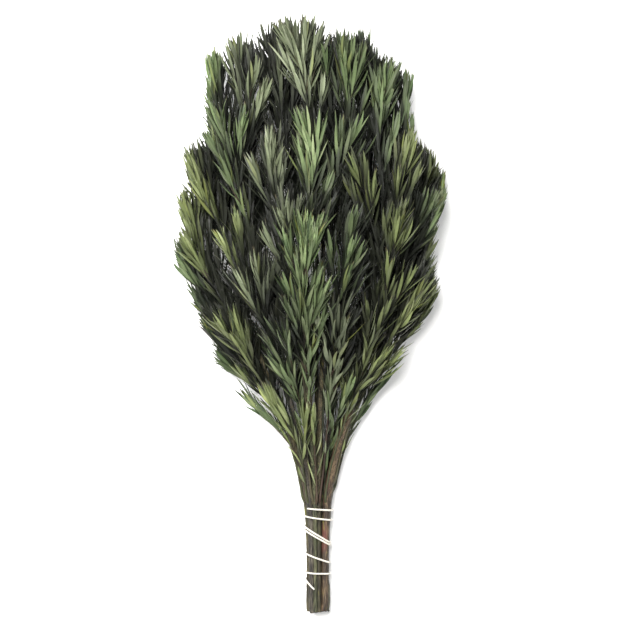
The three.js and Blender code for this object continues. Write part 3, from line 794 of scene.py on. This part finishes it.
def shoot_band(number):
    """Bake band of a side shoot: short lanes beside each other between the leaves and the twig."""
    left, low = 0.1 * (number % 10), 0.902 + 0.0045 * (number // 10)
    return (left, low, left + 0.03, low + 0.0035)


STEM_LINES = {name: stem_line(name) for name in STEM_NODES}
OUTLINE = Outline(SPRIG_NODES)
CUT_ENDS = CAD_BOX[0][1]


def foot_in_stem(point):
    """Where a twig runs down into the nearest stem below its first point."""
    def seen_from_point(stem):
        line, radii = stem
        distance, near = distance_to_line(point, line)
        radius = float(np.interp(near[1], line[:, 1], radii))
        return distance - radius, near, radius

    nearest = min(STEM_LINES.values(), key=lambda stem: seen_from_point(stem)[0])
    line, (_, near, radius) = nearest[0], seen_from_point(nearest)
    away = unit(point - near)
    foot = []
    for below, share in ((11 * MM, 0.35), (6 * MM, 0.8)):
        y = near[1] - below
        centre = at_place(y, line[:, 1], line)
        foot.append(centre + away * radius * share)
    return np.array(foot)


# ---- String ----
def make_string():
    line = string_line()
    line = np.concatenate([line[:1], softened(line, 1)[1:-1], line[-1:]])
    points, _, places = along(line, 0.9 * MM)
    points = softened(points, 6)

    def radius_at(place, angle):
        turn = 2 * math.pi * place / STRING_TWIST
        strands = np.abs(np.cos(1.5 * (angle - turn)))
        wavering = 0.03 * np.sin(place / (9 * MM)) + 0.02 * np.sin(place / (3.1 * MM) + 1)
        ends = smooth(np.minimum(place, places[-1] - place), -0.2 * MM, 0.6 * MM)
        return STRING_RADIUS * (0.86 + 0.12 * strands + wavering) * (0.7 + 0.3 * ends)

    shape, faces, uvs, point_places = tube(points, radius_at, STRING_SIDES, UP_THE_BUNCH,
                                           (0.0, 0.0, 1.0, 0.95), ((0.03, 0.975), (0.08, 0.975)), 0.02)
    angles = np.linspace(0, 2 * math.pi, STRING_SIDES, endpoint=False)
    around = np.concatenate([np.tile(angles, len(points)), [0, 0]])
    turn = around - 2 * math.pi * point_places / STRING_TWIST
    parts = Parts()
    # valley: where the strands meet, for the painted shade there
    parts.add(shape, faces, uvs, {}, {"valley": 1 - np.abs(np.cos(1.5 * turn))})
    return parts.build("string")


# ---- Materials ----
def linear(code):
    """A hex colour as it looks in the studio light, as the linear numbers that a shader takes."""
    values = [int(code[at:at + 2], 16) / 255 for at in (0, 2, 4)]
    values = [value / 12.92 if value <= 0.04045 else ((value + 0.055) / 1.055) ** 2.4
              for value in values]
    return [value / STUDIO_LIGHT for value in values] + [1]


class Shader:
    """A procedural material under construction."""

    def __init__(self, name):
        self.material = bpy.data.materials.new(name)
        self.material.use_nodes = True
        self.tree = self.material.node_tree
        self.surface = self.tree.nodes["Principled BSDF"]

    def put(self, value, socket):
        if isinstance(value, bpy.types.NodeSocket):
            self.tree.links.new(value, socket)
        else:
            socket.default_value = linear(value) if isinstance(value, str) else value

    def node(self, kind, inputs, output=0, **settings):
        """The output of a new node. Its inputs are given by name or number."""
        made = self.tree.nodes.new(kind)
        for key, value in settings.items():
            setattr(made, key, value)
        for socket, value in inputs.items():
            self.put(value, made.inputs[socket])
        return made.outputs[output]

    def finished(self, inputs):
        """The material, with these inputs for its surface."""
        for socket, value in inputs.items():
            self.put(value, self.surface.inputs[socket])
        return self.material

    def attribute(self, name):
        return self.node("ShaderNodeAttribute", {}, "Fac", attribute_name=name)

    def math(self, operation, first, second=0.0):
        return self.node("ShaderNodeMath", {0: first, 1: second}, operation=operation)

    def remap(self, value, low, high, to_low=0.0, to_high=1.0):
        inputs = {"Value": value, "From Min": low, "From Max": high,
                  "To Min": to_low, "To Max": to_high}
        return self.node("ShaderNodeMapRange", inputs, "Result", interpolation_type="SMOOTHSTEP")

    def mix(self, share, first, second):
        return self.node("ShaderNodeMix", {0: share, 6: first, 7: second}, 2, data_type="RGBA")

    def toned(self, under, over, value, low, high, most):
        """A colour under another: none of it where the value is low, the most where it is high."""
        return self.mix(self.remap(value, low, high, 0.0, most), under, over)

    def ramp(self, value, stops):
        made = self.tree.nodes.new("ShaderNodeValToRGB")
        elements = made.color_ramp.elements
        while len(elements) < len(stops):
            elements.new(0.5)
        for element, (place, code) in zip(elements, stops):
            element.position = place
            element.color = linear(code)
        self.put(value, made.inputs[0])
        return made.outputs[0]

    def point(self, x, y, z):
        return self.node("ShaderNodeCombineXYZ", {0: x, 1: y, 2: z})

    def noise(self, scale, detail, roughness=0.5, squeezed=1.0, vector=None):
        """Noise over a vector, or over the place in metres, squeezed along the bunch."""
        if vector is None:
            where = self.node("ShaderNodeTexCoord", {}, "Object")
            vector = self.node("ShaderNodeMapping", {"Vector": where, "Scale": (1, squeezed, 1)})
        inputs = {"Vector": vector, "Scale": scale, "Detail": detail, "Roughness": roughness}
        return self.node("ShaderNodeTexNoise", inputs, "Fac")

    def bump(self, height, distance, strength, under=None):
        inputs = {"Strength": strength, "Distance": distance, "Height": height}
        return self.node("ShaderNodeBump", inputs if under is None else {**inputs, "Normal": under})


# Each leaf tone from its dullest leaves to its freshest, then the shade of its undersides.
LEAF_TONES = {
    "leaf_silver": (("353d2b", "6a7458", "9faa86", "d0d7b8"), "899371"),
    "leaf_green": (("2b3c22", "5d7646", "8fa66c", "c6d2a0"), "7e8f62"),
    "leaf_olive": (("38442a", "74834a", "a5b373", "d0d8a4"), "89945f"),
    "leaf_dark": (("20301a", "425a36", "6b8456", "a3b287"), "67784e"),
}
LEAF_ACCENTS = {"yellow": "a2a94c", "brown": "6d5a40", "purple": "6d6468"}
TWIG_BARKS = ("3b4228", "505333", "514531", "49362c")


def leaf_material(slot):
    stops, underside = LEAF_TONES[slot]
    shader = Shader(slot)
    tint, chance = shader.attribute("tint"), shader.attribute("chance")
    along_leaf, side = shader.attribute("along"), shader.attribute("side")
    off_rib = shader.math("ABSOLUTE", side)
    patches = shader.noise(38.0, 2.0)
    mottle = shader.noise(420.0, 4.0, 0.6)

    shifted = shader.math("ADD", tint, shader.remap(patches, 0.3, 0.7, -0.16, 0.16))
    shifted = shader.math("ADD", shifted, shader.remap(mottle, 0.25, 0.75, -0.13, 0.13))
    blade = shader.ramp(shifted, [(0.08 + 0.28 * step, code) for step, code in enumerate(stops)])
    blade = shader.toned(blade, LEAF_ACCENTS["yellow"], chance, 0.9, 0.97, 0.75)
    blade = shader.toned(blade, LEAF_ACCENTS["purple"], chance, 0.1, 0.02, 0.6)

    # fine veins run up the blade, each leaf with its own
    lanes = shader.point(shader.math("MULTIPLY", side, 5.0), shader.math("MULTIPLY", along_leaf, 2.2),
                         shader.math("MULTIPLY", chance, 90.0))
    veins = shader.noise(1.6, 3.0, vector=lanes)
    blade = shader.toned(blade, "2c3823", veins, 0.35, 0.7, 0.28)
    rib = shader.remap(off_rib, 0.02, 0.16, 1.0, 0.0)
    blade = shader.mix(shader.math("MULTIPLY", rib, 0.45), blade, "a9ad86")
    blade = shader.toned(blade, "3d3f30", off_rib, 0.82, 1.0, 0.3)
    # the lower half of each leaf is darkened towards its stalk, painted shade from the crowded leaves
    # about the twig; tips are dried on some leaves
    blade = shader.toned(blade, "262c1a", along_leaf, 0.5, 0.0, 0.8)
    dried = shader.math("MULTIPLY", shader.remap(along_leaf, 0.8, 0.99),
                        shader.remap(chance, 0.45, 0.75, 0.1, 0.75))
    blade = shader.mix(dried, blade, LEAF_ACCENTS["brown"])
    blade = shader.mix(shader.math("MULTIPLY", shader.attribute("under"), 0.55), blade, underside)

    # twig bark, olive to red-brown from sprig to sprig, streaked along its length
    streaks = shader.noise(900.0, 4.0, 0.65, 0.12)
    bark = shader.ramp(tint, [(0.1 + 0.26 * step, code) for step, code in enumerate(TWIG_BARKS)])
    bark = shader.toned(bark, "3b3226", streaks, 0.4, 0.7, 0.6)
    woody = shader.attribute("woody")
    skin = shader.mix(woody, blade, bark)
    # painted shade: leaves and twigs deep inside the foliage are darkened nearly to black
    skin = shader.toned(skin, "0a0d06", shader.attribute("deep"), 0.16, 0.9, 0.97)
    grain = shader.mix(woody, shader.mix(0.5, veins, mottle), streaks)
    raised = shader.bump(rib, 0.12 * MM, 0.5, shader.bump(grain, 0.16 * MM, 0.55))
    return shader.finished({"Base Color": skin, "Specular IOR Level": 0.36, "Normal": raised,
                            "Roughness": shader.remap(mottle, 0.2, 0.8, 0.5, 0.72)})


# Each bark from its hollows to its worn places, then its patches.
BARK_TONES = {
    "bark_purple": (("1a1816", "322e29", "4a453a", "70695a"), "3f442b"),
    "bark_olive": (("191b11", "313321", "494b32", "6f6d4e"), "353e20"),
    "bark_brown": (("1c1912", "363122", "4e4832", "756b4d"), "424429"),
    "bark_red": (("201812", "3d3124", "5a4935", "7f6b4e"), "79453b"),
}


def bark_material(slot):
    stops, patch = BARK_TONES[slot]
    shader = Shader(slot)
    streaks = shader.noise(1500.0, 5.0, 0.62, 0.07)
    bands = shader.noise(130.0, 3.0, 0.5, 0.35)
    fine = shader.noise(3200.0, 3.0, 0.7, 0.5)
    blend = shader.math("ADD", shader.remap(streaks, 0.28, 0.72),
                        shader.remap(bands, 0.3, 0.7, -0.22, 0.22))
    bark = shader.ramp(blend, [(0.05 + 0.3 * step, code) for step, code in enumerate(stops)])
    large = shader.noise(42.0, 2.0, 0.5, 0.4)
    bark = shader.toned(bark, patch, large, 0.6, 0.7, 0.6)
    scars = shader.noise(240.0, 2.0, 0.5, 0.22)
    bark = shader.toned(bark, "8c8a3e", scars, 0.66, 0.72, 0.6)
    bark = shader.toned(bark, "241f19", streaks, 0.4, 0.3, 0.6)

    # the cut end: pith, pale wood with rings, a dark line of bark round it
    ring = shader.attribute("ring")
    rings = shader.math("SINE", shader.math("MULTIPLY", ring, 34.0))
    wood = shader.ramp(ring, [(0.0, "6b5235"), (0.14, "a58e66"), (0.7, "b9a47c"), (0.86, "86704c"),
                              (0.93, "3d3222")])
    wood = shader.toned(wood, "7d6543", rings, -1.0, 1.0, 0.25)
    wood = shader.toned(wood, "8b744f", fine, 0.4, 0.7, 0.5)
    bark = shader.mix(shader.attribute("cut"), bark, wood)
    raised = shader.bump(fine, 0.06 * MM, 0.5, shader.bump(streaks, 0.45 * MM, 0.7))
    return shader.finished({"Base Color": bark, "Specular IOR Level": 0.35, "Normal": raised,
                            "Roughness": shader.remap(streaks, 0.3, 0.7, 0.78, 0.6)})


def string_material():
    shader = Shader("tie_cream")
    valley = shader.attribute("valley")
    fuzz = shader.noise(2600.0, 4.0, 0.7)
    stain = shader.noise(60.0, 2.0)
    # painted shade: the cotton is darker in the valleys between the twisted strands
    cotton = shader.toned("f6f1e4", "b9ab8c", valley, 0.45, 1.0, 0.55)
    cotton = shader.toned(cotton, "d8ccb0", fuzz, 0.35, 0.7, 0.25)
    cotton = shader.toned(cotton, "d5c59c", stain, 0.5, 0.75, 0.2)
    return shader.finished({"Base Color": cotton, "Sheen Weight": 0.2,
                            "Roughness": shader.remap(fuzz, 0.3, 0.7, 0.8, 0.95),
                            "Normal": shader.bump(fuzz, 0.2 * MM, 0.6)})


# ---- The pieces ----
MATERIALS = {slot: leaf_material(slot) for slot in LEAF_TONES}
MATERIALS.update({slot: bark_material(slot) for slot in BARK_TONES})
MATERIALS["tie_cream"] = string_material()


def finish_piece(piece, node):
    slot = SLOT_OF[node]
    piece.data.materials.append(MATERIALS[slot])
    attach(piece, "root")
    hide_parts(node)


for number, node in enumerate(STEM_NODES):
    finish_piece(make_stem(node, np.random.default_rng(STEM_SEED + number)), node)
sprigs = {node: make_sprig(node, np.random.default_rng(SPRIG_SEED + number))
          for number, node in enumerate(SPRIG_NODES)}
# painted shade: each sprig's leaves and twigs get how deep they lie in the foliage, to be darkened by it
shade = Shade(np.concatenate([points for parts in sprigs.values() for points in parts.points]))
for node, parts in sprigs.items():
    depths = [shade.depth(points) for points in parts.points]
    of_leaves = depths[-1].reshape(-1, 4 * len(LEAF_OUTLINE))
    of_leaf = of_leaves.mean(axis=1)[:, None]
    depths[-1] = (EVEN_SHADE * of_leaf + (1 - EVEN_SHADE) * of_leaves).ravel()
    parts.values["deep", "POINT"] = depths
    finish_piece(parts.build("sprig_" + node[-2:]), node)
finish_piece(make_string(), "string_tie")


# ---- Floor, light and camera ----
def make_floor():
    corners = [(x * FLOOR_HALF, y * FLOOR_HALF, FLOOR_HEIGHT)
               for x, y in ((-1, -1), (1, -1), (1, 1), (-1, 1))]
    mesh = bpy.data.meshes.new("floor")
    mesh.from_pydata(corners, [], [(0, 1, 2, 3)])
    shader = Shader("floor_paper")
    grain = shader.noise(900.0, 2.0)
    paper = [(value, value, value * 0.995, 1) for value in (0.9, 0.87)]
    mesh.materials.append(shader.finished({
        "Base Color": shader.mix(shader.remap(grain, 0.3, 0.7), *paper), "Roughness": 0.9}))
    placed("floor", mesh)


def make_light(name, place, aim, size, power, colour=(1, 1, 1)):
    light = bpy.data.lights.new(name, "AREA")
    light.shape = "DISK"
    light.size = size
    light.energy = power
    light.color = colour
    lamp = placed(name, light)
    lamp.location = place
    lamp.rotation_euler = (Vector(aim) - Vector(place)).to_track_quat("-Z", "Y").to_euler()


make_floor()
make_light("key", (-0.6, 0.7, 2.3), (0, 0.05, 0.05), 1.4, 165, (1, 0.99, 0.98))
make_light("fill", (1.2, -0.8, 1.8), (0, 0, 0.05), 1.6, 30)
make_light("rim", (-0.9, 1.7, 0.9), (0, 0.05, 0.05), 1.2, 26)

world = bpy.data.worlds.new("studio")
world.use_nodes = True
background = world.node_tree.nodes["Background"].inputs
background["Color"].default_value = (1, 1, 1, 1)
background["Strength"].default_value = 0.17
bpy.context.scene.world = world

camera_data = bpy.data.cameras.new("camera")
camera_data.sensor_width = 36
camera_data.lens = camera_data.sensor_width * (CAMERA_HEIGHT - FOLIAGE_HEIGHT) / PHOTO_SIDE
camera = placed("camera", camera_data)
camera.location = (CAMERA_ASIDE, CAMERA_UP, CAMERA_HEIGHT)
bpy.context.scene.camera = camera
bpy.context.scene.view_settings.view_transform = "Standard"
